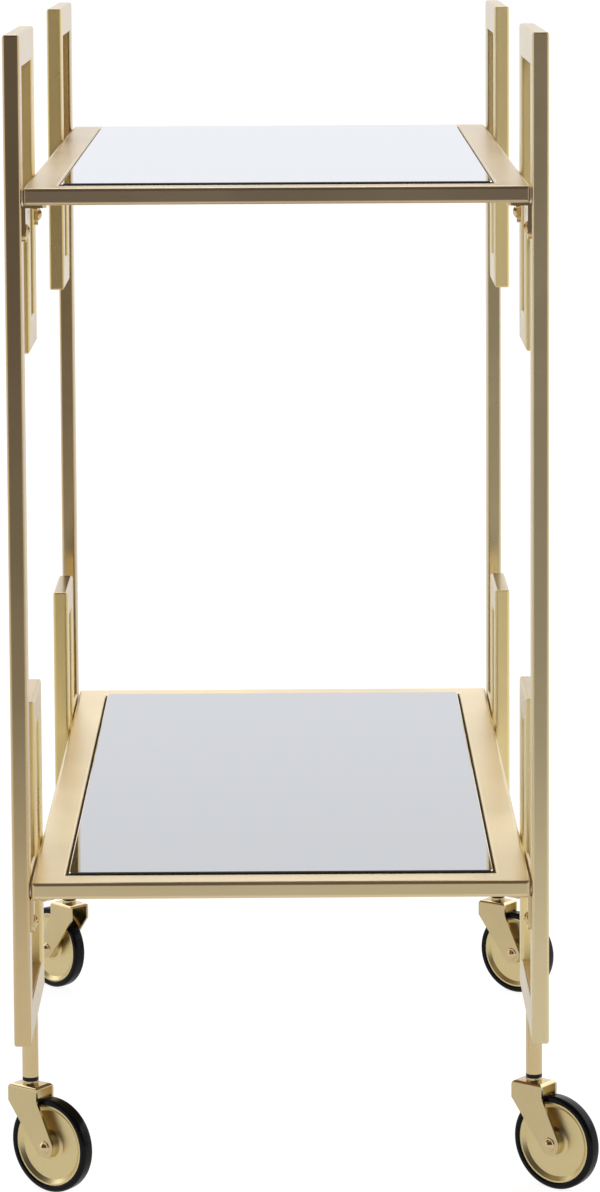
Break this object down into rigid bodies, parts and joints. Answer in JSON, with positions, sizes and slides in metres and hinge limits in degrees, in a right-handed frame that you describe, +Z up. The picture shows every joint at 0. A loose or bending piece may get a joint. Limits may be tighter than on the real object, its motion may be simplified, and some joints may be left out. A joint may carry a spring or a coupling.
{
  "type": "bar cart",
  "caption": "Two-tier bar cart with mirror shelves, Greek-key side frames of rectangular gold tube and swivel casters.",
  "frame": {"origin": "floor level, midway between the two side frames and between the two ends", "axes": "+Z up, X across the cart, +Y along the cart from its front end to its rear end"},
  "size_m": [0.4786, 0.74, 0.89],
  "materials": {
    "frame_gold": "satin champagne gold",
    "shelf_gold": "satin champagne gold",
    "gold_hardware": "satin",
    "caster_gold": "satin gold",
    "wheel_gold": "satin gold",
    "mirror": "polished",
    "backing_board": "plain board",
    "clear_rubber": "clear",
    "black_plastic": "matte",
    "zinc_steel": "zinc plated",
    "tyre_rubber": "satin black",
    "bush_nylon": "matte"
  },
  "bodies": {
    "frame": {"left_posts": "frame_gold", "right_posts": "frame_gold", "left_upper_key_rails": "frame_gold", "right_upper_key_rails": "frame_gold", "left_upper_key_uprights": "frame_gold", "right_upper_key_uprights": "frame_gold", "left_lower_key_rails": "frame_gold", "right_lower_key_rails": "frame_gold", "left_lower_key_uprights": "frame_gold", "right_lower_key_uprights": "frame_gold", "caster_leg_tubes": "frame_gold", "leg_sleeves": "black_plastic", "leg_collars": "black_plastic", "caster_stems": "zinc_steel", "upper_shelf_long_rails": "shelf_gold", "upper_shelf_cross_rails": "shelf_gold", "upper_mirror": "mirror", "upper_backing_panel": "backing_board", "upper_ledges": "shelf_gold", "upper_bumpers": "clear_rubber", "lower_shelf_long_rails": "shelf_gold", "lower_shelf_cross_rails": "shelf_gold", "lower_mirror": "mirror", "lower_backing_panel": "backing_board", "lower_ledges": "shelf_gold", "lower_bumpers": "clear_rubber", "upper_brackets": "gold_hardware", "lower_brackets": "gold_hardware", "upper_bracket_side_screws": "gold_hardware", "lower_bracket_side_screws": "gold_hardware", "upper_bracket_shelf_screws": "gold_hardware", "lower_bracket_shelf_screws": "gold_hardware"},
    "front_left_swivel": {"front_left_fork": "caster_gold", "front_left_swivel_race": "caster_gold", "front_left_axle": "caster_gold"},
    "front_left_wheel": {"front_left_wheel_disc": "wheel_gold", "front_left_tyre": "tyre_rubber", "front_left_hub_bush": "bush_nylon"},
    "front_right_swivel": {"front_right_fork": "caster_gold", "front_right_swivel_race": "caster_gold", "front_right_axle": "caster_gold"},
    "front_right_wheel": {"front_right_wheel_disc": "wheel_gold", "front_right_tyre": "tyre_rubber", "front_right_hub_bush": "bush_nylon"},
    "rear_left_swivel": {"rear_left_fork": "caster_gold", "rear_left_swivel_race": "caster_gold", "rear_left_axle": "caster_gold"},
    "rear_left_wheel": {"rear_left_wheel_disc": "wheel_gold", "rear_left_tyre": "tyre_rubber", "rear_left_hub_bush": "bush_nylon"},
    "rear_right_swivel": {"rear_right_fork": "caster_gold", "rear_right_swivel_race": "caster_gold", "rear_right_axle": "caster_gold"},
    "rear_right_wheel": {"rear_right_wheel_disc": "wheel_gold", "rear_right_tyre": "tyre_rubber", "rear_right_hub_bush": "bush_nylon"}
  },
  "joints": [
    {"name": "front_left_swivel_turn", "type": "hinge", "parent": "frame", "child": "front_left_swivel", "pos_m": [-0.19365, -0.283, 0.081], "axis": [0, 0, 1], "continuous": true},
    {"name": "front_left_wheel_spin", "type": "hinge", "parent": "front_left_swivel", "child": "front_left_wheel", "pos_m": [-0.17677, -0.29549, 0.0364], "axis": [-0.5948, -0.8039, 0], "continuous": true},
    {"name": "front_right_swivel_turn", "type": "hinge", "parent": "frame", "child": "front_right_swivel", "pos_m": [0.19365, -0.283, 0.081], "axis": [0, 0, 1], "continuous": true},
    {"name": "front_right_wheel_spin", "type": "hinge", "parent": "front_right_swivel", "child": "front_right_wheel", "pos_m": [0.21024, -0.29587, 0.0364], "axis": [-0.6129, -0.7902, 0], "continuous": true},
    {"name": "rear_left_swivel_turn", "type": "hinge", "parent": "frame", "child": "rear_left_swivel", "pos_m": [-0.19365, 0.283, 0.081], "axis": [0, 0, 1], "continuous": true},
    {"name": "rear_left_wheel_spin", "type": "hinge", "parent": "rear_left_swivel", "child": "rear_left_wheel", "pos_m": [-0.20824, 0.29811, 0.0364], "axis": [0.7193, 0.6947, 0], "continuous": true},
    {"name": "rear_right_swivel_turn", "type": "hinge", "parent": "frame", "child": "rear_right_swivel", "pos_m": [0.19365, 0.283, 0.081], "axis": [0, 0, 1], "continuous": true},
    {"name": "rear_right_wheel_spin", "type": "hinge", "parent": "rear_right_swivel", "child": "rear_right_wheel", "pos_m": [0.21064, 0.27066, 0.0364], "axis": [-0.5878, -0.809, 0], "continuous": true}
  ]
}
